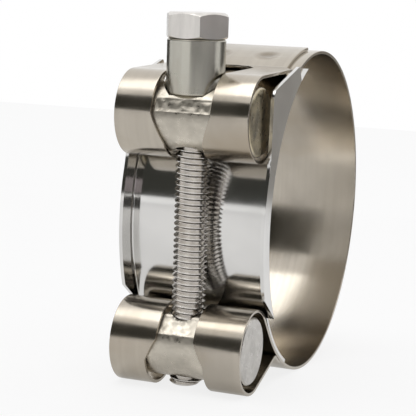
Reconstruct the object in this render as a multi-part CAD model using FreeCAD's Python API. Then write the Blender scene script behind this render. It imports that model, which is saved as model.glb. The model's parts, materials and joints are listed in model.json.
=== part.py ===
import FreeCAD, Part

import math
import os
from collections import namedtuple

# Exhaust pipe clamp: a folded stainless band closed by one bolt through two cross barrels.
# X runs along the pipe, the bolt is at the front (-Y) and +Z is up, in millimetres and degrees.
# The clamp is drawn with its bolt upright and symmetric about the pipe's middle height.
# At the end it is rolled forward until the band and the lower loop stand on one plane.
# In the side view an angle of 0 faces the front, 90 faces up and 180 faces the back.

# Band
bore_radius = 29.5
band_width = 24.0
band_thickness = 0.6
lead_start = 150.0
upper_pinch_angle = 64.5
lower_pinch_angle = 52.0
pinch_bend_radius = 1.2
upper_tail_length = 12.5
lower_tail_length = 2.6
upper_tail_width = 20.0
shoulder_run = 2.5
tail_gap = 0.04
neck_length = 4.4

# Keyhole slots in the two loops
slot_clearance = 0.3
slot_neck_clearance = 0.4
slot_neck_run = 0.4
slot_end_margin = 0.4
slot_corner_radius = 1.5
plate_share = 0.33
upper_slot_taper = (0.7, -4.6)
lower_slot_taper = (1.7, -2.3)

# Weld dimples on the upper tail
dimple_diameter = 3.7
dimple_depth = 0.2
dimple_spacing = 9.4
dimple_setback = 4.7

# Bridge under the gap
bridge_thickness = 0.6
bridge_side_gap = 0.3
bridge_top_angle = 67.0
bridge_foot_angle = -31.0
tongue_end_angle = -62.0
tongue_side_gap = 0.2
flange_bend_radius = 0.4
flange_slope = 88.0
flange_height = 3.7
flange_taper_angle = 12.0
ear_height = 9.9
ear_angle = 38.0
ear_start_angle = 18.0
ear_corner_radius = 1.5
ear_rise_radius = 10.0
ear_end_angle = 57.5
ear_end_height = 3.4
ear_end_radius = 0.5

# Cross barrels
barrel_radius = 5.9
barrel_edge = 0.3
barrel_gap = 0.05
barrel_drop = 0.4
loop_slack = 0.9
seat_depth = 1.9
seat_clearance = 0.25
upper_hole_clearance = 0.3
thread_clearance = 0.12
upper_relief_radius = 3.9
lower_relief_radius = 4.6
relief_slope = 40.0
lower_flat_depth = 0.3
upper_facet = (25.0, 14.0)
lower_facet = (45.0, 20.0)

# Bolt and sleeve
bolt_diameter = 6.0
bolt_length = 60.0
bolt_gap = 0.3
bolt_end_chamfer = 0.7
head_width = 10.0
head_height = 4.3
head_top_radius = 4.6
head_chamfer_slope = 28.0
head_corner_azimuth = 26.0
sleeve_diameter = 10.0
sleeve_wall = 1.75
sleeve_length = 9.4
sleeve_edge = 0.25
running_gap = 0.05

# Values that follow from the sizes above
bolt_radius = bolt_diameter / 2
sleeve_radius = sleeve_diameter / 2
bridge_outer_radius = bore_radius + bridge_thickness
ring_radius = bore_radius + band_thickness / 2
loop_radius = barrel_radius + 2 * barrel_gap + loop_slack + band_thickness / 2
barrel_play = loop_radius - band_thickness / 2 - barrel_radius - barrel_gap
half_width = band_width / 2

# Drawing aids
reach = 200.0
overshoot = 1.0
tolerance = 1e-6
bottom_angle = 270.0

Wheel = namedtuple("Wheel", "centre radius side")
Bend = namedtuple("Bend", "centre radius first final side")


def around(centre, radius, angle):
    """Point at an angle round a centre, in the flat coordinates of a drawing."""
    turn = math.radians(angle)
    return (centre[0] + radius * math.cos(turn), centre[1] + radius * math.sin(turn))


def bearing(start, end):
    """Distance and angle from one flat point to another."""
    across = end[0] - start[0]
    along = end[1] - start[1]
    return math.hypot(across, along), math.degrees(math.atan2(along, across))


def tangent(first, second):
    """Angles at which a line leaves one wheel and meets the next."""
    distance, angle = bearing(first.centre, second.centre)
    crossing = first.side != second.side
    span = first.radius + second.radius if crossing else first.radius - second.radius
    ratio = max(-1.0, min(1.0, span / distance))
    leave = angle + first.side * math.degrees(math.acos(ratio))
    return leave, leave + 180.0 if crossing else leave


def onward(arrive, leave, side):
    """The leaving angle, reached by turning right (side 1) or left (side -1)."""
    turn = (side * (arrive - leave)) % 360.0
    if turn > 360.0 - tolerance:
        turn = 0.0
    return arrive - side * turn


def route(wheels, first, final):
    """Bends of a sheet that runs round the wheels, from one angle to another."""
    bends = []
    arrive = first
    for wheel, after in zip(wheels, wheels[1:]):
        leave, meet = tangent(wheel, after)
        bends.append(Bend(*wheel[:2], arrive, onward(arrive, leave, wheel.side), wheel.side))
        arrive = meet
    last = wheels[-1]
    bends.append(Bend(*last[:2], arrive, onward(arrive, final, last.side), last.side))
    return bends


def stop(centre, radius, angle, side):
    """A bend of no length, which ends a straight run."""
    return Bend(centre, radius, angle, angle, side)


def side_view(point):
    """Place a flat point (forward, up) in the clamp's side view."""
    return FreeCAD.Vector(0, -point[0], point[1])


def cross_section(point):
    """Place a flat point (across, outward) in a section through the clamp's top."""
    return FreeCAD.Vector(point[0], 0, point[1])


def run_edges(bends, shift, place):
    """Edges of the line that runs beside the bends at a distance."""
    edges = []
    last = None
    for bend in bends:
        radius = bend.radius + bend.side * shift
        start = place(around(bend.centre, radius, bend.first))
        end = place(around(bend.centre, radius, bend.final))
        if last is not None and last.distanceToPoint(start) > tolerance:
            edges.append(Part.LineSegment(last, start).toShape())
        if start.distanceToPoint(end) > tolerance:
            middle = place(around(bend.centre, radius, (bend.first + bend.final) / 2))
            edges.append(Part.Arc(start, middle, end).toShape())
        last = end
    return edges


def sheet_face(bends, thickness, place):
    """Section of a bent sheet of even thickness."""
    left = run_edges(bends, thickness / 2, place)
    right = run_edges(bends, -thickness / 2, place)
    caps = []
    for bend, angle in ((bends[0], bends[0].first), (bends[-1], bends[-1].final)):
        ends = [place(around(bend.centre, bend.radius + bend.side * shift, angle))
                for shift in (thickness / 2, -thickness / 2)]
        caps.append(Part.LineSegment(*ends).toShape())
    return Part.Face(Part.Wire(Part.__sortEdges__(left + right + caps)))


def strip(bends, thickness, width):
    """Bent sheet of a given width, centred on the pipe's middle plane."""
    face = sheet_face(bends, thickness, side_view)
    face.translate(FreeCAD.Vector(-width / 2, 0, 0))
    return face.extrude(FreeCAD.Vector(width, 0, 0))


def box(x_range, y_range, z_range):
    """Block between two values on each axis."""
    corner = FreeCAD.Vector(x_range[0], y_range[0], z_range[0])
    sizes = [high - low for low, high in (x_range, y_range, z_range)]
    return Part.makeBox(*sizes, corner)


def post(radius, bottom, top, forward):
    """Upright cylinder at a distance in front of the pipe's axis."""
    return Part.makeCylinder(radius, top - bottom, FreeCAD.Vector(0, -forward, bottom))


def mirrored(shape):
    """The same shape on the other side of the pipe's middle height."""
    return shape.mirror(FreeCAD.Vector(0, 0, 0), FreeCAD.Vector(0, 0, 1))


def revolved(corners, forward):
    """Solid turned about the upright bolt axis from (radius, height) corners."""
    points = [FreeCAD.Vector(radius, 0, height) for radius, height in corners]
    face = Part.Face(Part.makePolygon(points + points[:1]))
    solid = face.revolve(FreeCAD.Vector(0, 0, 0), FreeCAD.Vector(0, 0, 1), 360)
    solid.translate(FreeCAD.Vector(0, -forward, 0))
    return solid


# Where the band runs
# The band leaves the ring's circle at lead_start and rises until it clears the bridge's top end.
lead_growth = bridge_thickness / (1 - math.cos(math.radians(lead_start - bridge_top_angle)))
lead_radius = ring_radius + lead_growth
lead_centre = around((0, 0), -lead_growth, lead_start)
bolt_forward = bridge_outer_radius + bolt_gap + bolt_radius
loop_forward = bolt_forward - math.sqrt(barrel_play ** 2 - barrel_drop ** 2)
loop_distance = math.hypot(lead_radius + loop_radius, neck_length)
loop_height = lead_centre[1] + math.sqrt(loop_distance ** 2 - (loop_forward - lead_centre[0]) ** 2)
loop_centre = (loop_forward, loop_height)
barrel_centre = (bolt_forward, loop_height - barrel_drop)
tail_radius = lead_radius + band_thickness + tail_gap
plate_level = loop_height + plate_share * loop_radius


def upper_wheels(pinch_angle):
    """Wheels from the tail to the ring, for the upper end of the band."""
    pinch = around(lead_centre, tail_radius + pinch_bend_radius, pinch_angle)
    return [Wheel(lead_centre, tail_radius, 1), Wheel(pinch, pinch_bend_radius, -1),
            Wheel(loop_centre, loop_radius, 1), Wheel(lead_centre, lead_radius, -1)]


def end_bends(pinch_angle, tail_length):
    """Bends from a tail's free end to the place where the band reaches the ring."""
    tail_end = pinch_angle + math.degrees(tail_length / tail_radius)
    return route(upper_wheels(pinch_angle), tail_end, lead_start)


def ring_part():
    """The part of the band that goes round the pipe."""
    leave = end_bends(upper_pinch_angle, upper_tail_length)[3].first
    low_centre = (lead_centre[0], -lead_centre[1])
    wheels = [Wheel(lead_centre, lead_radius, -1), Wheel((0, 0), ring_radius, -1),
              Wheel(low_centre, lead_radius, -1)]
    return strip(route(wheels, leave, -leave), band_thickness, band_width)


def slot_cutter(apex, taper):
    """Keyhole slot: wide over the outer side and the front, narrow beside the other barrel."""
    wide = sleeve_radius + slot_clearance
    narrow = bolt_radius + slot_neck_clearance
    outer = box((-wide, wide), (-reach, -apex - wide), (plate_level, reach))
    outer = outer.fuse(post(wide, plate_level, reach, apex + wide))
    high, low = [loop_height + offset for offset in taper]
    sides = [(wide, reach), (wide, high), (narrow, low), (narrow, 0)]
    sides += [(-x, z) for x, z in reversed(sides)]
    points = [FreeCAD.Vector(x, -reach, z) for x, z in sides]
    window = Part.Face(Part.makePolygon(points + points[:1]))
    window = window.extrude(FreeCAD.Vector(0, reach - loop_forward, 0))
    corners = [edge for edge in window.Edges if edge.BoundBox.YLength > barrel_radius
               and low - tolerance < edge.CenterOfMass.z < high + tolerance]
    window = window.makeFillet(slot_corner_radius, corners)
    neck_end = bolt_forward - narrow - slot_neck_run
    neck = post(narrow, 0, plate_level, neck_end)
    neck = neck.fuse(box((-narrow, narrow), (-reach, -neck_end), (0, loop_height)))
    neck = neck.common(box((-reach, reach), (-loop_forward, reach), (0, plate_level)))
    return outer.fuse(window).fuse(neck)


def band_end(pinch_angle, tail_length, tail_width, taper):
    """One end of the band: neck, loop round a barrel, pinch and tail, drawn as the upper one."""
    bends = end_bends(pinch_angle, tail_length)
    tail, pinch, loop, ring = bends
    loop_part = strip([pinch, loop, stop(ring.centre, ring.radius, ring.first, ring.side)],
                      band_thickness, band_width)
    pinch_start = around(pinch.centre, pinch.radius, pinch.final)
    apex = pinch_start[0] + slot_end_margin
    loop_part = loop_part.cut(slot_cutter(apex, taper))
    if tail_width < band_width:
        loop_part = loop_part.cut(shoulder_cutters(apex, tail_width))
    return loop_part.fuse(strip([tail], band_thickness, tail_width))


def shoulder_cutters(apex, tail_width):
    """Wedges that narrow the folded-over plate towards its tail."""
    start = -(apex + shoulder_run)
    cutters = []
    for side in (-1, 1):
        corners = [(side * half_width, start), (side * tail_width / 2, -apex),
                   (side * tail_width / 2, 0), (side * reach, 0), (side * reach, start)]
        points = [FreeCAD.Vector(x, y, plate_level) for x, y in corners]
        face = Part.Face(Part.makePolygon(points + points[:1]))
        cutters.append(face.extrude(FreeCAD.Vector(0, 0, reach)))
    return cutters[0].fuse(cutters[1])


def dimple_cutters():
    """Shallow round marks that the spot welds leave in the upper tail."""
    ball = (dimple_diameter ** 2 / 4 + dimple_depth ** 2) / (2 * dimple_depth)
    angle = upper_pinch_angle + math.degrees(dimple_setback / tail_radius)
    surface = tail_radius + band_thickness / 2
    place = side_view(around(lead_centre, surface + ball - dimple_depth, angle))
    spots = [Part.makeSphere(ball, place + FreeCAD.Vector(side * dimple_spacing / 2, 0, 0))
             for side in (-1, 1)]
    return spots[0].fuse(spots[1])


def make_band():
    """The band, one strip folded at both ends."""
    upper = band_end(upper_pinch_angle, upper_tail_length, upper_tail_width, upper_slot_taper)
    upper = upper.cut(dimple_cutters())
    lower = mirrored(band_end(lower_pinch_angle, lower_tail_length, band_width, lower_slot_taper))
    return ring_part().fuse([upper, lower]).removeSplitter()


def turned_section(face, low_angle, high_angle):
    """Turn a section about the pipe's axis between two side-view angles."""
    face.rotate(FreeCAD.Vector(0, 0, 0), FreeCAD.Vector(1, 0, 0), 90.0 - high_angle)
    return face.revolve(FreeCAD.Vector(0, 0, 0), FreeCAD.Vector(1, 0, 0), high_angle - low_angle)


def channel():
    """The bridge's trough with both flanges at their full height, before trimming."""
    middle = bore_radius + bridge_thickness / 2
    bend_centre_height = bridge_outer_radius + flange_bend_radius
    bend_radius = flange_bend_radius + bridge_thickness / 2
    bend_side = half_width + bridge_side_gap
    rise = bridge_outer_radius + ear_height + ear_corner_radius - middle
    lean = rise / math.tan(math.radians(flange_slope))
    left = Wheel((-bend_side, bend_centre_height), bend_radius, -1)
    right = Wheel((bend_side, bend_centre_height), bend_radius, -1)
    bends = route([left, right], bottom_angle - flange_slope, bottom_angle + flange_slope)
    tips = []
    for side, bend, angle in ((-1, bends[0], bends[0].first), (1, bends[1], bends[1].final)):
        edge = around(bend.centre, bend.radius, angle)
        tips.append(stop((edge[0] + side * lean, edge[1] + rise), 0.0, angle, -1))
    face = sheet_face([tips[0]] + bends + [tips[1]], bridge_thickness, cross_section)
    return turned_section(face, bridge_foot_angle, bridge_top_angle)


def flange_outline():
    """Side view of the bridge's flanges: level, then an ear that slants to a square corner."""
    flange_radius = bridge_outer_radius + flange_height
    ear_radius = bridge_outer_radius + ear_height
    ear = around((0, 0), ear_radius - ear_corner_radius, ear_angle)
    rise = around((0, 0), flange_radius + ear_rise_radius, ear_start_angle)
    end = around((0, 0), bridge_outer_radius + ear_end_height - ear_end_radius, ear_end_angle)
    wheels = [Wheel((0, 0), flange_radius, -1), Wheel(rise, ear_rise_radius, 1),
              Wheel(ear, ear_corner_radius, -1), Wheel(end, ear_end_radius, -1)]
    tip = around((0, 0), bridge_outer_radius, bridge_top_angle)
    foot = around((0, 0), bridge_outer_radius, bridge_foot_angle)
    bends = route(wheels, bridge_foot_angle + flange_taper_angle, ear_end_angle + 90.0)
    root = around(end, ear_end_radius, ear_end_angle + 90.0)
    root = (root[0] * bridge_outer_radius / math.hypot(*root),
            root[1] * bridge_outer_radius / math.hypot(*root))
    inner = bore_radius - band_thickness
    corners = [stop(point, 0.0, 0.0, -1) for point in (foot, root, tip)]
    edges = run_edges(corners[:1] + bends + corners[1:], 0.0, side_view)
    low = around((0, 0), inner, bridge_foot_angle)
    high = around((0, 0), inner, bridge_top_angle)
    middle = around((0, 0), inner, (bridge_foot_angle + bridge_top_angle) / 2)
    edges.append(Part.LineSegment(side_view(tip), side_view(high)).toShape())
    edges.append(Part.Arc(side_view(high), side_view(middle), side_view(low)).toShape())
    edges.append(Part.LineSegment(side_view(low), side_view(foot)).toShape())
    face = Part.Face(Part.Wire(Part.__sortEdges__(edges)))
    face.translate(FreeCAD.Vector(-band_width, 0, 0))
    return face.extrude(FreeCAD.Vector(2 * band_width, 0, 0))


def make_bridge():
    """The bridge that closes the gap in the band, with a tongue tucked under the lower end."""
    tongue_side = half_width - tongue_side_gap
    corners = [(-tongue_side, bore_radius), (tongue_side, bore_radius),
               (tongue_side, bridge_outer_radius), (-tongue_side, bridge_outer_radius)]
    points = [cross_section(corner) for corner in corners]
    face = Part.Face(Part.makePolygon(points + points[:1]))
    tongue = turned_section(face, tongue_end_angle, bridge_foot_angle)
    return channel().common(flange_outline()).fuse(tongue).removeSplitter()


def barrel_blank():
    """Round cross bar with broken edges, drawn at the upper place."""
    length = band_width
    start = FreeCAD.Vector(-length / 2, -barrel_centre[0], barrel_centre[1])
    bar = Part.makeCylinder(barrel_radius, length, start, FreeCAD.Vector(1, 0, 0))
    rims = [edge for edge in bar.Edges if edge.BoundBox.XLength < tolerance]
    return bar.makeChamfer(barrel_edge, rims)


def facet_cutter(facet, half_length):
    """Block that takes a hammered flat off the front of a barrel."""
    middle, spread = facet
    depth = barrel_radius * math.cos(math.radians(spread))
    block = box((-half_length, half_length), (-depth - barrel_radius, -depth),
                (-barrel_radius, barrel_radius))
    block.rotate(FreeCAD.Vector(0, 0, 0), FreeCAD.Vector(1, 0, 0), -middle)
    block.translate(FreeCAD.Vector(0, -barrel_centre[0], barrel_centre[1]))
    return block


def relief_cutter(rim_radius, hole_radius):
    """Cone that opens a bolt hole towards the other barrel."""
    depth = rim_radius * math.tan(math.radians(relief_slope))
    bottom = barrel_centre[1] - barrel_radius
    corners = [(0, bottom - overshoot), (rim_radius, bottom - overshoot), (rim_radius, bottom),
               (hole_radius, bottom + depth), (0, bottom + depth)]
    return revolved(corners, bolt_forward)


def make_upper_barrel():
    """Upper barrel: plain hole, a sunk seat for the sleeve and a hammered flat."""
    seat = barrel_centre[1] + barrel_radius - seat_depth
    hole = bolt_radius + upper_hole_clearance
    bar = barrel_blank().cut(post(hole, 0, reach, bolt_forward))
    bar = bar.cut(post(sleeve_radius + seat_clearance, seat, reach, bolt_forward))
    bar = bar.cut(facet_cutter(upper_facet, sleeve_radius))
    return bar.cut(relief_cutter(upper_relief_radius, hole))


def make_lower_barrel():
    """Lower barrel: the bolt's nut, drawn at the upper place and mirrored down."""
    hole = bolt_radius + thread_clearance
    bottom = barrel_centre[1] - barrel_radius
    bar = barrel_blank().cut(post(hole, 0, reach, bolt_forward))
    bar = bar.cut(post(lower_relief_radius, 0, bottom + lower_flat_depth, bolt_forward))
    bar = mirrored(bar)
    facet = facet_cutter(lower_facet, sleeve_radius)
    facet.translate(FreeCAD.Vector(0, 0, -2 * barrel_centre[1]))
    return bar.cut(facet)


def make_spacer_sleeve():
    """Plain tube between the bolt's head and the upper barrel."""
    bottom = barrel_centre[1] + barrel_radius - seat_depth + running_gap
    inner = sleeve_radius - sleeve_wall
    tube = post(sleeve_radius, bottom, bottom + sleeve_length, bolt_forward)
    rims = [edge for edge in tube.Edges if edge.BoundBox.ZLength < tolerance]
    tube = tube.makeChamfer(sleeve_edge, rims)
    return tube.cut(post(inner, 0, reach, bolt_forward))


def make_bolt():
    """Hexagon bolt with a long shank; its thread is too fine for a solid."""
    under = barrel_centre[1] + barrel_radius - seat_depth + sleeve_length + 2 * running_gap
    top = under + head_height
    corner_radius = head_width / 2 / math.cos(math.radians(30))
    corners = []
    for step in range(6):
        azimuth = math.radians(head_corner_azimuth + 60 * step)
        corners.append(FreeCAD.Vector(corner_radius * math.sin(azimuth),
                                      -bolt_forward - corner_radius * math.cos(azimuth), under))
    prism = Part.Face(Part.makePolygon(corners + corners[:1])).extrude(FreeCAD.Vector(0, 0, head_height))
    slope = math.tan(math.radians(head_chamfer_slope))
    drop = (corner_radius - head_top_radius) * slope
    lift = (corner_radius - head_width / 2) * slope
    blank = revolved([(0, under), (head_width / 2, under), (corner_radius, under + lift),
                      (corner_radius, top - drop), (head_top_radius, top), (0, top)], bolt_forward)
    end = under - bolt_length
    shank = revolved([(0, under), (bolt_radius, under), (bolt_radius, end + bolt_end_chamfer),
                      (bolt_radius - bolt_end_chamfer, end), (0, end)], bolt_forward)
    return prism.common(blank).fuse(shank).removeSplitter()


def rest_angle():
    """Roll that brings the band's underside and the lower loop's underside level."""
    skin = band_thickness / 2
    ring = Wheel((lead_centre[0], -lead_centre[1]), lead_radius + skin, -1)
    loop = Wheel((loop_centre[0], -loop_centre[1]), loop_radius + skin, -1)
    return tangent(ring, loop)[0] + 90.0


def main():
    os.makedirs("parts", exist_ok=True)
    pieces = {
        "band": make_band(),
        "bridge": make_bridge(),
        "upper_barrel": make_upper_barrel(),
        "lower_barrel": make_lower_barrel(),
        "spacer_sleeve": make_spacer_sleeve(),
        "bolt": make_bolt(),
    }
    roll = rest_angle()
    for name, shape in pieces.items():
        shape.rotate(FreeCAD.Vector(0, 0, 0), FreeCAD.Vector(1, 0, 0), roll)
        shape.exportStep("parts/" + name + ".step")
        print(name, "solids", len(shape.Solids), "valid", shape.isValid(), "mm3", round(shape.Volume, 1))
    print("roll", round(roll, 3), "barrel centre", [round(v, 4) for v in barrel_centre])


main()
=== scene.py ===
"""Looks of a stainless exhaust pipe clamp: folded band, bridge, cross barrels, sleeve and bolt."""

import json
import math

import bmesh
import bpy
from mathutils import Matrix, Vector, noise


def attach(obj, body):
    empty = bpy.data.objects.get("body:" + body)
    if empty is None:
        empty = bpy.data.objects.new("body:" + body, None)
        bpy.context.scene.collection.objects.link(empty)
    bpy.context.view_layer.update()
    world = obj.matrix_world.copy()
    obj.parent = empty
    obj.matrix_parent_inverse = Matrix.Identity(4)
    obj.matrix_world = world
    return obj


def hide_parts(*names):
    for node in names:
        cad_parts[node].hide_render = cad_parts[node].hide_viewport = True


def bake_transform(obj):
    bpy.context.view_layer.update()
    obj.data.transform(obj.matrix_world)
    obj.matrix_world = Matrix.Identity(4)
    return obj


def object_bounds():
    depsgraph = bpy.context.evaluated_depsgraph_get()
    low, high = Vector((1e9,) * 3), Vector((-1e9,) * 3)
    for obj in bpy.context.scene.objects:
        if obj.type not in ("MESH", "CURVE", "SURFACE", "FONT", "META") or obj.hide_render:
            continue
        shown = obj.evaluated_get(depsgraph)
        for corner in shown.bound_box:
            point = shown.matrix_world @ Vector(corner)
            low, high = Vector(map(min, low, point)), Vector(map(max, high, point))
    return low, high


bl_info = {
    "name": "Exhaust pipe clamp",
    "version": (1, 0, 0),
    "blender": (4, 5, 0),
    "location": "View3D > Sidebar > Pipe Clamp",
    "description": "Dresses a band clamp in bright rolled stainless steel and sets up its photo stage",
    "category": "Object",
}

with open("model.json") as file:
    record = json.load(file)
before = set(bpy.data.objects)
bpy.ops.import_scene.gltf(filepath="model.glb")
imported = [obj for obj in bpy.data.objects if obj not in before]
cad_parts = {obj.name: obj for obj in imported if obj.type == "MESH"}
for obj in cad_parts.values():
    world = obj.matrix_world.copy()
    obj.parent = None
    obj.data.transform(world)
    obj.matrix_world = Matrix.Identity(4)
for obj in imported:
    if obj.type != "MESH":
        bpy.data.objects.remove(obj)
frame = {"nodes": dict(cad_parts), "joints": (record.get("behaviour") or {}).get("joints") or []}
cad_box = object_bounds()

MM = 0.001
DEGREE = math.radians(1.0)
PICTURE_PIXELS = 416.0
SENSOR_WIDTH = 36.0
MERGE_DISTANCE = 0.001 * MM
CUT_TOLERANCE = 0.0005 * MM
# Turns from face to face, in degrees: up to the first they are one face, from the second on an edge.
FLAT_TURN = 0.3
SHARP_TURN = 42.0
# Middles of the two spot welds on the band's upper tail, and how far their heat marks reach.
WELD_PLACES = ((-4.65 * MM, -12.46 * MM, 28.61 * MM), (4.65 * MM, -12.46 * MM, 28.61 * MM))
WELD_REACH = 2.6 * MM
# How far the barrels' hammered flats reach from the middle, and where their sawn ends begin and are full.
FLAT_REACH = 5.0 * MM
SAWN_FROM = 11.6 * MM
SAWN_FULL = 11.95 * MM
# The head is wider than this; a plain stub stays below it, and the thread starts inside the stub.
HEAD_LEAST = 4.0 * MM
STUB_LENGTH = 0.4 * MM
THREAD_START = 0.2 * MM
THREAD_CHAMFER = 0.35 * MM
JOINTS = {joint["name"]: joint for joint in frame["joints"]}
BOLT_DOWN = Vector(JOINTS["bolt_turn"]["axis"])
UPPER_BARREL = Vector(JOINTS["bolt_turn"]["pos_m"])


class ClampSizes(bpy.types.PropertyGroup):
    """Small sizes that the solids leave out."""
    sheet_edge: bpy.props.FloatProperty(
        name="Sheet edge", description="Rounding of the band's and the bridge's edges",
        default=0.13 * MM, subtype="DISTANCE", unit="LENGTH")
    turned_edge: bpy.props.FloatProperty(
        name="Turned edge", description="Rounding of the barrels', sleeve's and head's edges",
        default=0.12 * MM, subtype="DISTANCE", unit="LENGTH")
    thread_pitch: bpy.props.FloatProperty(
        name="Thread pitch", description="Distance from crest to crest of the bolt's thread",
        default=1.0 * MM, subtype="DISTANCE", unit="LENGTH")
    thread_crest: bpy.props.FloatProperty(
        name="Crest radius", description="Outside radius of the bolt's thread",
        default=2.97 * MM, subtype="DISTANCE", unit="LENGTH")
    thread_root: bpy.props.FloatProperty(
        name="Root radius", description="Radius at the bottom of the bolt's thread",
        default=2.42 * MM, subtype="DISTANCE", unit="LENGTH")
    hammer_depth: bpy.props.FloatProperty(
        name="Hammer marks", description="Depth of the rough marks on the barrels' fronts",
        default=0.26 * MM, subtype="DISTANCE", unit="LENGTH")


class ClampFinishes(bpy.types.PropertyGroup):
    """Colours of the steel pieces."""
    band: bpy.props.FloatVectorProperty(
        name="Band", description="Rolled strip of the band", subtype="COLOR", size=3,
        min=0.0, max=1.0, default=(0.56, 0.51, 0.435))
    bridge: bpy.props.FloatVectorProperty(
        name="Bridge", description="Bright sheet of the bridge", subtype="COLOR", size=3,
        min=0.0, max=1.0, default=(0.75, 0.74, 0.72))
    barrel: bpy.props.FloatVectorProperty(
        name="Barrels", description="Turned bar of the cross barrels", subtype="COLOR", size=3,
        min=0.0, max=1.0, default=(0.68, 0.63, 0.54))
    sleeve: bpy.props.FloatVectorProperty(
        name="Sleeve", description="Drawn tube of the spacer sleeve", subtype="COLOR", size=3,
        min=0.0, max=1.0, default=(0.62, 0.60, 0.53))
    bolt: bpy.props.FloatVectorProperty(
        name="Bolt", description="Head and thread of the bolt", subtype="COLOR", size=3,
        min=0.0, max=1.0, default=(0.80, 0.77, 0.73))
    sawn: bpy.props.FloatVectorProperty(
        name="Sawn end", description="Pale grainy end of the lower barrel", subtype="COLOR", size=3,
        min=0.0, max=1.0, default=(0.62, 0.60, 0.57))
    stain: bpy.props.FloatVectorProperty(
        name="Sawn and stained", description="Yellow-brown end of the upper barrel",
        subtype="COLOR", size=3, min=0.0, max=1.0, default=(0.55, 0.47, 0.31))
    tarnish: bpy.props.FloatVectorProperty(
        name="Tarnish", description="Brown tint of the handled and heated places",
        subtype="COLOR", size=3, min=0.0, max=1.0, default=(0.38, 0.31, 0.22))


class StageSettings(bpy.types.PropertyGroup):
    """Where the camera stands and how bright the studio is."""
    azimuth: bpy.props.FloatProperty(
        name="Azimuth", description="Camera direction from the clamp's front, in degrees", default=20.769)
    elevation: bpy.props.FloatProperty(
        name="Elevation", description="Camera height angle, in degrees", default=4.695)
    roll: bpy.props.FloatProperty(
        name="Roll", description="Turn of the picture about the view line, in degrees", default=3.762)
    distance: bpy.props.FloatProperty(
        name="Distance", description="Camera distance from the pipe's centre", default=0.2643,
        subtype="DISTANCE", unit="LENGTH")
    focal_pixels: bpy.props.FloatProperty(
        name="Focal length", description="Focal length in pixels of a 416 pixel picture", default=1356.3)
    shift_right: bpy.props.FloatProperty(
        name="Shift right", description="Camera offset to the right", default=-0.00913,
        subtype="DISTANCE", unit="LENGTH")
    shift_up: bpy.props.FloatProperty(
        name="Shift up", description="Camera offset upwards", default=-0.00123,
        subtype="DISTANCE", unit="LENGTH")
    lamp_power: bpy.props.FloatProperty(
        name="Lamp power", description="Power of the softbox over the clamp, in watts", default=4.2)


# Shared shaping steps

def copy_of(node):
    """A clean editable copy of a solid's mesh."""
    shape = bmesh.new()
    shape.from_mesh(frame["nodes"][node].data)
    bmesh.ops.remove_doubles(shape, verts=shape.verts, dist=MERGE_DISTANCE)
    bmesh.ops.dissolve_limit(shape, angle_limit=FLAT_TURN * DEGREE, verts=shape.verts, edges=shape.edges)
    return shape


def round_edges(shape, width, segments=2, limit=32.0):
    """Break every edge that turns by more than the limit, in degrees."""
    sharp = [edge for edge in shape.edges
             if len(edge.link_faces) == 2 and edge.calc_face_angle() > limit * DEGREE]
    bmesh.ops.bevel(shape, geom=sharp, offset=width, offset_type="OFFSET", segments=segments,
                    profile=0.5, affect="EDGES", clamp_overlap=True, material=-1)


def cut_off(shape, place, direction):
    """Cut a shape with a plane and drop the part on the plane's far side."""
    bmesh.ops.bisect_plane(
        shape, geom=shape.verts[:] + shape.edges[:] + shape.faces[:], dist=CUT_TOLERANCE,
        plane_co=place, plane_no=direction, clear_outer=True, clear_inner=False)


def close_holes(shape):
    """Fill the holes that cuts have left."""
    rims = [edge for edge in shape.edges if len(edge.link_faces) == 1]
    bmesh.ops.holes_fill(shape, edges=rims)


def make_piece(name, shape, material):
    """Turn a shape into a piece that shades smoothly between its sharp edges."""
    for face in shape.faces:
        face.smooth = True
    for edge in shape.edges:
        edge.smooth = len(edge.link_faces) == 2 and edge.calc_face_angle() < SHARP_TURN * DEGREE
    mesh = bpy.data.meshes.new(name)
    shape.to_mesh(mesh)
    shape.free()
    mesh.materials.append(material)
    piece = bpy.data.objects.new(name, mesh)
    bpy.context.scene.collection.objects.link(piece)
    even = piece.modifiers.new("even_shading", "WEIGHTED_NORMAL")
    even.weight = 50
    even.keep_sharp = True
    return piece


# Steel finishes

def shade(colour, share):
    """The colour at a share of its brightness."""
    return [share * part for part in colour]


def plain_steel(name, colour, roughness):
    """Base of every finish: bare steel of one colour."""
    material = bpy.data.materials.new(name)
    material.use_nodes = True
    shader = material.node_tree.nodes["Principled BSDF"]
    shader.inputs["Base Color"].default_value = (*colour, 1.0)
    shader.inputs["Metallic"].default_value = 1.0
    shader.inputs["Roughness"].default_value = roughness
    return material


def mottle(material, per_metre, detail):
    """Noise on the piece's own coordinates, with its own fineness along each axis."""
    nodes = material.node_tree.nodes
    place = nodes.new("ShaderNodeTexCoord")
    mapping = nodes.new("ShaderNodeMapping")
    mapping.inputs["Scale"].default_value = per_metre
    texture = nodes.new("ShaderNodeTexNoise")
    texture.inputs["Scale"].default_value = 1.0
    texture.inputs["Detail"].default_value = detail
    material.node_tree.links.new(place.outputs["Object"], mapping.inputs["Vector"])
    material.node_tree.links.new(mapping.outputs["Vector"], texture.inputs["Vector"])
    return texture.outputs["Fac"]


def between(material, value, low, high, start=0.3, end=0.7):
    """Spread a 0 to 1 pattern over a range."""
    spread = material.node_tree.nodes.new("ShaderNodeMapRange")
    spread.inputs["From Min"].default_value = start
    spread.inputs["From Max"].default_value = end
    spread.inputs["To Min"].default_value = low
    spread.inputs["To Max"].default_value = high
    material.node_tree.links.new(value, spread.inputs["Value"])
    return spread.outputs["Result"]


def tinted(material, share, first, second):
    """Mix two colours by a pattern."""
    mix = material.node_tree.nodes.new("ShaderNodeMix")
    mix.data_type = "RGBA"
    material.node_tree.links.new(share, mix.inputs["Factor"])
    for socket, colour in ((mix.inputs[6], first), (mix.inputs[7], second)):
        if isinstance(colour, bpy.types.NodeSocket):
            material.node_tree.links.new(colour, socket)
        else:
            socket.default_value = (*colour, 1.0)
    return mix.outputs[2]


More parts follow.
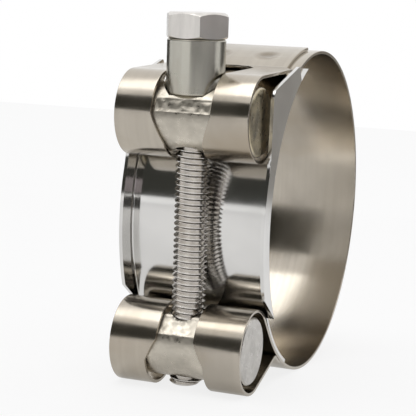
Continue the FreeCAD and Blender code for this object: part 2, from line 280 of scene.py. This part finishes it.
def relief(material, height, depth, strength):
    """Fine relief that a pattern presses into the surface."""
    bump = material.node_tree.nodes.new("ShaderNodeBump")
    bump.inputs["Strength"].default_value = strength
    bump.inputs["Distance"].default_value = depth
    material.node_tree.links.new(height, bump.inputs["Height"])
    return bump.outputs["Normal"]


def wire(material, **sockets):
    """Join patterns to the steel's own sockets."""
    shader = material.node_tree.nodes["Principled BSDF"]
    for name, value in sockets.items():
        material.node_tree.links.new(value, shader.inputs[name.replace("_", " ").title()])


def heat_mark(material, centre, reach):
    """Share of a halo round a spot weld: even in its core and gone at its reach."""
    strength = 0.8
    core = 0.35 * reach
    nodes = material.node_tree.nodes
    place = nodes.new("ShaderNodeTexCoord")
    away = nodes.new("ShaderNodeVectorMath")
    away.operation = "DISTANCE"
    away.inputs[1].default_value = centre
    material.node_tree.links.new(place.outputs["Object"], away.inputs[0])
    return between(material, away.outputs["Value"], strength, 0.0, start=core, end=reach)


def rolled_strip(name, colour, stain, low, high):
    """Rolled strip: fine lines round the pipe, cloudy dull places, brown stains and two weld marks."""
    material = plain_steel(name, colour, low)
    lines = mottle(material, (1500.0, 12.0, 12.0), detail=2.0)
    clouds = mottle(material, (90.0, 60.0, 60.0), detail=5.0)
    tone = tinted(material, between(material, lines, 0.0, 1.0), colour, shade(colour, 0.90))
    tone = tinted(material, between(material, clouds, 0.0, 1.0), tone, shade(colour, 0.78))
    spots = mottle(material, (45.0, 70.0, 70.0), detail=5.0)
    tone = tinted(material, between(material, spots, 0.0, 0.55, start=0.50, end=0.72), tone, stain)
    for centre in WELD_PLACES:
        tone = tinted(material, heat_mark(material, centre, WELD_REACH), tone, shade(stain, 0.6))
    wire(material, base_color=tone,
         roughness=between(material, clouds, low, high),
         normal=relief(material, lines, 0.002 * MM, strength=0.35))
    return material


def bright_sheet(name, colour, low, high):
    """Mirror-bright sheet with fine scratches."""
    material = plain_steel(name, colour, low)
    scratches = mottle(material, (1200.0, 40.0, 40.0), detail=2.0)
    clouds = mottle(material, (70.0, 90.0, 90.0), detail=4.0)
    tone = tinted(material, between(material, clouds, 0.0, 1.0), colour, shade(colour, 0.88))
    wire(material, base_color=tone,
         roughness=between(material, clouds, low, high),
         normal=relief(material, scratches, 0.0015 * MM, strength=0.3))
    return material


def drawn_tube(name, colour, stain, low, high):
    """Satin tube or bar with soft upright lines and a few brown clouds."""
    material = plain_steel(name, colour, low)
    lines = mottle(material, (700.0, 700.0, 20.0), detail=3.0)
    clouds = mottle(material, (160.0, 160.0, 90.0), detail=4.0)
    tone = tinted(material, between(material, lines, 0.0, 1.0), colour, shade(colour, 0.82))
    tone = tinted(material, between(material, clouds, 0.0, 0.35, start=0.52, end=0.75), tone, stain)
    wire(material, base_color=tone,
         roughness=between(material, clouds, low, high),
         normal=relief(material, lines, 0.004 * MM, strength=0.35))
    return material


def sawn_bar(name, colour, sawn, chips, low, high):
    """Turned bar: satin round the middle, with grainy sawn ends that chips darken in places."""
    material = plain_steel(name, colour, low)
    nodes = material.node_tree.nodes
    links = material.node_tree.links
    grain = mottle(material, (1300.0, 1300.0, 1300.0), detail=4.0)
    clouds = mottle(material, (220.0, 220.0, 220.0), detail=5.0)
    place = nodes.new("ShaderNodeTexCoord")
    split = nodes.new("ShaderNodeSeparateXYZ")
    away = nodes.new("ShaderNodeMath")
    away.operation = "ABSOLUTE"
    links.new(place.outputs["Object"], split.inputs["Vector"])
    links.new(split.outputs["X"], away.inputs[0])
    end = between(material, away.outputs["Value"], 0.0, 0.9, start=SAWN_FROM, end=SAWN_FULL)
    bar = tinted(material, between(material, clouds, 0.0, 1.0), colour, shade(colour, 0.7))
    patches = mottle(material, (330.0, 330.0, 330.0), detail=5.0)
    chipped = between(material, patches, 0.0, chips, start=0.42, end=0.66)
    face = tinted(material, chipped, sawn, shade(sawn, 0.3))
    wire(material, base_color=tinted(material, end, bar, face),
         roughness=between(material, grain, low, high),
         normal=relief(material, grain, 0.03 * MM, strength=0.7))
    return material


# Pieces

class CLAMP_OT_band(bpy.types.Operator):
    """Dress the folded band"""
    bl_idname = "clamp.band"
    bl_label = "Band"

    def execute(self, context):
        sizes = context.scene.clamp_sizes
        colours = context.scene.clamp_finishes
        shape = copy_of("band")
        round_edges(shape, sizes.sheet_edge)
        steel = rolled_strip("rolled_band_steel", colours.band, colours.tarnish, low=0.13, high=0.26)
        piece = make_piece("folded_band", shape, steel)
        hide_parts("band")
        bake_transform(piece)
        return {"FINISHED"}


class CLAMP_OT_bridge(bpy.types.Operator):
    """Dress the bridge"""
    bl_idname = "clamp.bridge"
    bl_label = "Bridge"

    def execute(self, context):
        sizes = context.scene.clamp_sizes
        colours = context.scene.clamp_finishes
        shape = copy_of("bridge")
        round_edges(shape, sizes.sheet_edge)
        steel = bright_sheet("bright_bridge_steel", colours.bridge, low=0.06, high=0.16)
        piece = make_piece("flanged_bridge", shape, steel)
        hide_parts("bridge")
        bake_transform(piece)
        return {"FINISHED"}


def batter_facet(shape, slope, half_length, depth):
    """Cut a barrel's hammered flat into a fine net and batter it; slope is its tilt in degrees."""
    facing = Vector((0.0, -math.cos(slope * DEGREE), math.sin(slope * DEGREE)))
    upward = Vector((0.0, math.sin(slope * DEGREE), math.cos(slope * DEGREE)))
    columns = 30
    rows = 9
    facing_least = 0.9995
    coarse_per_metre = 900.0
    fine_per_metre = 2300.0
    fine_share = 0.6
    swing = 0.6
    sink = 0.35

    def flat_faces():
        return [face for face in shape.faces
                if face.normal.dot(facing) > facing_least
                and abs(face.calc_center_median().x) < half_length]

    flat = flat_faces()
    levels = [vert.co.dot(upward) for face in flat for vert in face.verts]
    low, high = min(levels), max(levels)
    rim = {vert for face in flat for vert in face.verts}
    cuts = [(Vector((half_length * (2 * step / columns - 1), 0.0, 0.0)), Vector((1.0, 0.0, 0.0)))
            for step in range(1, columns)]
    cuts += [(upward * (low + (high - low) * step / rows), upward) for step in range(1, rows)]
    for place, direction in cuts:
        faces = flat_faces()
        edges = {edge for face in faces for edge in face.edges}
        verts = {vert for face in faces for vert in face.verts}
        bmesh.ops.bisect_plane(shape, geom=[*faces, *edges, *verts], dist=CUT_TOLERANCE,
                               plane_co=place, plane_no=direction)
    faces = set(flat_faces())
    for vert in {vert for face in faces for vert in face.verts}:
        if vert not in rim and all(face in faces for face in vert.link_faces):
            coarse = noise.noise(vert.co * coarse_per_metre)
            rough = coarse + fine_share * noise.noise(vert.co * fine_per_metre)
            vert.co += facing * (swing * rough - sink) * depth


class CLAMP_OT_barrels(bpy.types.Operator):
    """Dress both cross barrels"""
    bl_idname = "clamp.barrels"
    bl_label = "Cross barrels"

    def execute(self, context):
        sizes = context.scene.clamp_sizes
        colours = context.scene.clamp_finishes
        tilt = math.degrees(math.asin(BOLT_DOWN.y))
        # Node, body, slope of the hammered flat in degrees, colour of the ends and share of dark chips.
        barrels = (("upper_barrel", "upper_barrel_body", 25.0, colours.stain, 1.0),
                   ("lower_barrel", "lower_barrel_body", 45.0, colours.sawn, 0.25))
        for node, body, slope, end_colour, chips in barrels:
            shape = copy_of(node)
            batter_facet(shape, slope - tilt, FLAT_REACH, sizes.hammer_depth)
            round_edges(shape, sizes.turned_edge)
            steel = sawn_bar("turned_" + node + "_steel", colours.barrel, end_colour, chips,
                             low=0.24, high=0.46)
            piece = make_piece("turned_" + node, shape, steel)
            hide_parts(node)
            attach(piece, body)
        return {"FINISHED"}


class CLAMP_OT_sleeve(bpy.types.Operator):
    """Dress the spacer sleeve under the bolt's head"""
    bl_idname = "clamp.sleeve"
    bl_label = "Spacer sleeve"

    def execute(self, context):
        sizes = context.scene.clamp_sizes
        colours = context.scene.clamp_finishes
        shape = copy_of("spacer_sleeve")
        round_edges(shape, sizes.turned_edge)
        steel = drawn_tube("drawn_sleeve_steel", colours.sleeve, colours.tarnish, low=0.2, high=0.3)
        piece = make_piece("drawn_sleeve", shape, steel)
        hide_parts("spacer_sleeve")
        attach(piece, "sleeve_body")
        return {"FINISHED"}


def threaded_shank(pitch, crest, root, length, chamfer):
    """Helical thread with a chamfered end, pointing down from the origin."""
    shape = bmesh.new()
    steps = 36
    seam = 0.01 * MM
    tip_share = 0.87
    downward = -0.99
    many_corners = 20
    # One turn's profile: how far along the pitch each point lies, and its radius.
    rises = (0.0, 0.12, 0.54, 0.6)
    radii = (crest, crest, root, root)
    turns = int(length / pitch) + 2
    verts = [shape.verts.new((radius, 0.0, rise * pitch)) for radius, rise in zip(radii, rises)]
    verts.append(shape.verts.new((crest, 0.0, pitch)))
    edges = [shape.edges.new(pair) for pair in zip(verts, verts[1:])]
    bmesh.ops.spin(shape, geom=verts + edges, cent=(0.0, 0.0, 0.0), axis=(0.0, 0.0, 1.0),
                   dvec=(0.0, 0.0, -pitch / steps), angle=2 * math.pi * turns, steps=turns * steps)
    bmesh.ops.remove_doubles(shape, verts=shape.verts, dist=seam)
    cut_off(shape, (0.0, 0.0, 0.0), (0.0, 0.0, 1.0))
    cut_off(shape, (0.0, 0.0, -length + chamfer), (0.0, 0.0, -1.0))
    close_holes(shape)
    caps = [face for face in shape.faces
            if face.normal.z < downward or len(face.verts) > many_corners]
    low = [face for face in caps if face.calc_center_median().z < -length / 2]
    tip = bmesh.ops.extrude_face_region(shape, geom=low)
    ends = [item for item in tip["geom"] if isinstance(item, bmesh.types.BMVert)]
    bmesh.ops.scale(shape, verts=ends, vec=(tip_share, tip_share, 1.0))
    bmesh.ops.translate(shape, verts=ends, vec=(0.0, 0.0, -chamfer))
    bmesh.ops.delete(shape, geom=low, context="FACES_ONLY")
    bmesh.ops.recalc_face_normals(shape, faces=shape.faces)
    return shape


class CLAMP_OT_bolt(bpy.types.Operator):
    """Dress the bolt and cut its thread"""
    bl_idname = "clamp.bolt"
    bl_label = "Bolt"

    def execute(self, context):
        sizes = context.scene.clamp_sizes
        colours = context.scene.clamp_finishes
        shape = copy_of("bolt")
        reach = [(vert.co - UPPER_BARREL).dot(BOLT_DOWN) for vert in shape.verts]
        wide = [distance for vert, distance in zip(shape.verts, reach)
                if ((vert.co - UPPER_BARREL) - distance * BOLT_DOWN).length > HEAD_LEAST]
        under_head = max(wide)
        end = max(reach)
        stub = UPPER_BARREL + BOLT_DOWN * (under_head + STUB_LENGTH)
        cut_off(shape, stub, BOLT_DOWN)
        close_holes(shape)
        round_edges(shape, sizes.turned_edge, segments=3, limit=20.0)
        top = under_head + THREAD_START
        thread = threaded_shank(sizes.thread_pitch, sizes.thread_crest, sizes.thread_root,
                                end - top, THREAD_CHAMFER)
        turn = Vector((0.0, 0.0, -1.0)).rotation_difference(BOLT_DOWN).to_matrix().to_4x4()
        place = Matrix.Translation(UPPER_BARREL + BOLT_DOWN * top) @ turn
        bmesh.ops.transform(thread, matrix=place, verts=thread.verts)
        steel = drawn_tube("bright_bolt_steel", colours.bolt, colours.tarnish, low=0.16, high=0.26)
        loose = bpy.data.meshes.new("thread")
        thread.to_mesh(loose)
        thread.free()
        shape.from_mesh(loose)
        bpy.data.meshes.remove(loose)
        piece = make_piece("threaded_bolt", shape, steel)
        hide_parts("bolt")
        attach(piece, "bolt_body")
        return {"FINISHED"}


# Stage

class CLAMP_OT_stage(bpy.types.Operator):
    """Lay the floor, hang the lamps and aim the camera"""
    bl_idname = "clamp.stage"
    bl_label = "Photo stage"

    def execute(self, context):
        settings = context.scene.clamp_stage
        aim_camera(settings)
        lay_floor()
        stand_cards()
        hang_lamps(settings.lamp_power)
        light_world()
        context.scene.view_settings.view_transform = "Standard"
        return {"FINISHED"}


def aim_camera(settings):
    """Camera at the photograph's place, rolled as the photographer held it."""
    azimuth, elevation, roll = [math.radians(v) for v in
                                (settings.azimuth, settings.elevation, settings.roll)]
    toward = Vector((math.sin(azimuth) * math.cos(elevation),
                     -math.cos(azimuth) * math.cos(elevation), math.sin(elevation)))
    right = Vector((math.cos(azimuth), math.sin(azimuth), 0.0))
    up = toward.cross(right)
    place = toward * settings.distance + right * settings.shift_right + up * settings.shift_up
    across = right * math.cos(roll) + up * math.sin(roll)
    above = up * math.cos(roll) - right * math.sin(roll)
    turn = Matrix((across, above, toward)).transposed()
    data = bpy.data.cameras.new("camera")
    data.sensor_width = SENSOR_WIDTH
    data.lens = settings.focal_pixels / PICTURE_PIXELS * data.sensor_width
    data.clip_start = 0.01
    camera = bpy.data.objects.new("camera", data)
    bpy.context.scene.collection.objects.link(camera)
    camera.matrix_world = Matrix.Translation(place) @ turn.to_4x4()
    bpy.context.scene.camera = camera


def stage_object(name, shape, material):
    """Put a studio surface into the scene."""
    mesh = bpy.data.meshes.new(name)
    shape.to_mesh(mesh)
    shape.free()
    mesh.materials.append(material)
    thing = bpy.data.objects.new(name, mesh)
    bpy.context.scene.collection.objects.link(thing)
    return thing


def seen_share(nodes, links, camera_share, mirror_share):
    """How much plain white the camera sees, and how much reflections and glass see."""
    path = nodes.new("ShaderNodeLightPath")
    parts = []
    for ray, share in (("Is Camera Ray", camera_share), ("Is Glossy Ray", mirror_share),
                       ("Is Transmission Ray", mirror_share)):
        part = nodes.new("ShaderNodeMath")
        part.operation = "MULTIPLY"
        part.inputs[1].default_value = share
        links.new(path.outputs[ray], part.inputs[0])
        parts.append(part.outputs["Value"])
    total = parts[0]
    for part in parts[1:]:
        most = nodes.new("ShaderNodeMath")
        most.operation = "MAXIMUM"
        links.new(total, most.inputs[0])
        links.new(part, most.inputs[1])
        total = most.outputs["Value"]
    return total


def lay_floor():
    """Plain pale floor under the clamp."""
    shape = bmesh.new()
    bmesh.ops.create_grid(shape, x_segments=1, y_segments=1, size=3.0)
    bmesh.ops.translate(shape, verts=shape.verts, vec=(0.0, 0.0, cad_box[0].z))
    material = bpy.data.materials.new("floor_paint")
    material.use_nodes = True
    nodes = material.node_tree.nodes
    links = material.node_tree.links
    paint = nodes["Principled BSDF"]
    paint.inputs["Base Color"].default_value = (0.86, 0.86, 0.86, 1.0)
    paint.inputs["Roughness"].default_value = 0.9
    glow = nodes.new("ShaderNodeEmission")
    mix = nodes.new("ShaderNodeMixShader")
    links.new(seen_share(nodes, links, camera_share=0.82, mirror_share=0.45), mix.inputs["Fac"])
    links.new(paint.outputs["BSDF"], mix.inputs[1])
    links.new(glow.outputs["Emission"], mix.inputs[2])
    links.new(mix.outputs["Shader"], nodes["Material Output"].inputs["Surface"])
    stage_object("floor", shape, material)


def curved_card(name, colour, middle, spread, low, high, radius):
    """Card round the clamp that the steel reflects and the camera doesn't see."""
    shape = bmesh.new()
    turn = Matrix.Rotation((middle - spread / 2) * DEGREE, 3, "Z")
    ends = [shape.verts.new(turn @ Vector((0.0, -radius, height))) for height in (low, high)]
    side = shape.edges.new(ends)
    bmesh.ops.spin(shape, geom=[*ends, side], cent=(0.0, 0.0, 0.0), axis=(0.0, 0.0, 1.0),
                   angle=spread * DEGREE, steps=48)
    material = bpy.data.materials.new(name)
    material.use_nodes = True
    paint = material.node_tree.nodes["Principled BSDF"]
    paint.inputs["Base Color"].default_value = (*colour, 1.0)
    paint.inputs["Roughness"].default_value = 1.0
    card = stage_object(name, shape, material)
    card.visible_camera = False


def stand_cards():
    """Dark room at the camera's side and low cards round the clamp, which draw the steel's bands."""
    floor = cad_box[0].z
    # Name, colour, middle and spread in degrees from the front, lower and upper edge, and radius.
    cards = (("dark_room", (0.045, 0.045, 0.037), 0.0, 230.0, 0.075, 0.95, 1.2),
             ("grey_front_card", (0.46, 0.41, 0.42), 47.0, 98.0, 0.035, 0.10, 0.4),
             ("dark_low_card", (0.08, 0.08, 0.075), 47.0, 98.0, floor, 0.012, 0.33),
             ("dark_right_card", (0.06, 0.045, 0.055), 86.0, 12.0, floor, 0.022, 0.39),
             ("dark_back_card", (0.07, 0.065, 0.06), 138.0, 30.0, floor, 0.09, 0.4),
             ("grey_back_card", (0.45, 0.43, 0.40), 166.0, 26.0, floor, 0.09, 0.4),
             ("dark_left_card", (0.07, 0.065, 0.06), -120.0, 40.0, floor, 0.09, 0.4))
    for card in cards:
        curved_card(*card)


def hang_lamps(power):
    """Softboxes over the clamp and at its side."""
    side_share = 0.25
    lamps = (("top_softbox", (-0.1, -0.25, 1.1), 0.9, power),
             ("side_softbox", (-0.85, -0.35, 0.65), 0.8, side_share * power))
    for name, place, size, watts in lamps:
        data = bpy.data.lights.new(name, "AREA")
        data.shape = "SQUARE"
        data.size = size
        data.energy = watts
        lamp = bpy.data.objects.new(name, data)
        bpy.context.scene.collection.objects.link(lamp)
        lamp.location = place
        lamp.rotation_euler = (-Vector(place)).to_track_quat("-Z", "Y").to_euler()


def light_world():
    """Even pale light, white behind the clamp."""
    world = bpy.data.worlds.new("studio")
    bpy.context.scene.world = world
    world.use_nodes = True
    nodes = world.node_tree.nodes
    links = world.node_tree.links
    room = nodes["Background"]
    room.inputs["Color"].default_value = (0.85, 0.85, 0.86, 1.0)
    white = nodes.new("ShaderNodeBackground")
    white.inputs["Color"].default_value = (1.0, 1.0, 1.0, 1.0)
    mix = nodes.new("ShaderNodeMixShader")
    links.new(seen_share(nodes, links, camera_share=1.0, mirror_share=1.0), mix.inputs["Fac"])
    links.new(room.outputs["Background"], mix.inputs[1])
    links.new(white.outputs["Background"], mix.inputs[2])
    links.new(mix.outputs["Shader"], nodes["World Output"].inputs["Surface"])


class CLAMP_PT_panel(bpy.types.Panel):
    """Lists the clamp's pieces and the stage"""
    bl_idname = "CLAMP_PT_panel"
    bl_label = "Pipe clamp"
    bl_space_type = "VIEW_3D"
    bl_region_type = "UI"
    bl_category = "Pipe Clamp"

    def draw(self, context):
        for step in STEPS:
            self.layout.operator(step.bl_idname)


STEPS = (CLAMP_OT_band, CLAMP_OT_bridge, CLAMP_OT_barrels,
         CLAMP_OT_sleeve, CLAMP_OT_bolt, CLAMP_OT_stage)
SETTINGS = {"clamp_sizes": ClampSizes,
            "clamp_finishes": ClampFinishes,
            "clamp_stage": StageSettings}


def register():
    for cls in (*SETTINGS.values(), *STEPS, CLAMP_PT_panel):
        bpy.utils.register_class(cls)
    for name, cls in SETTINGS.items():
        setattr(bpy.types.Scene, name, bpy.props.PointerProperty(type=cls))


def unregister():
    for name in SETTINGS:
        delattr(bpy.types.Scene, name)
    for cls in reversed((*SETTINGS.values(), *STEPS, CLAMP_PT_panel)):
        bpy.utils.unregister_class(cls)


def main():
    register()
    bpy.ops.clamp.band()
    bpy.ops.clamp.bridge()
    bpy.ops.clamp.barrels()
    bpy.ops.clamp.sleeve()
    bpy.ops.clamp.bolt()
    bpy.ops.clamp.stage()


if __name__ == "__main__":
    main()
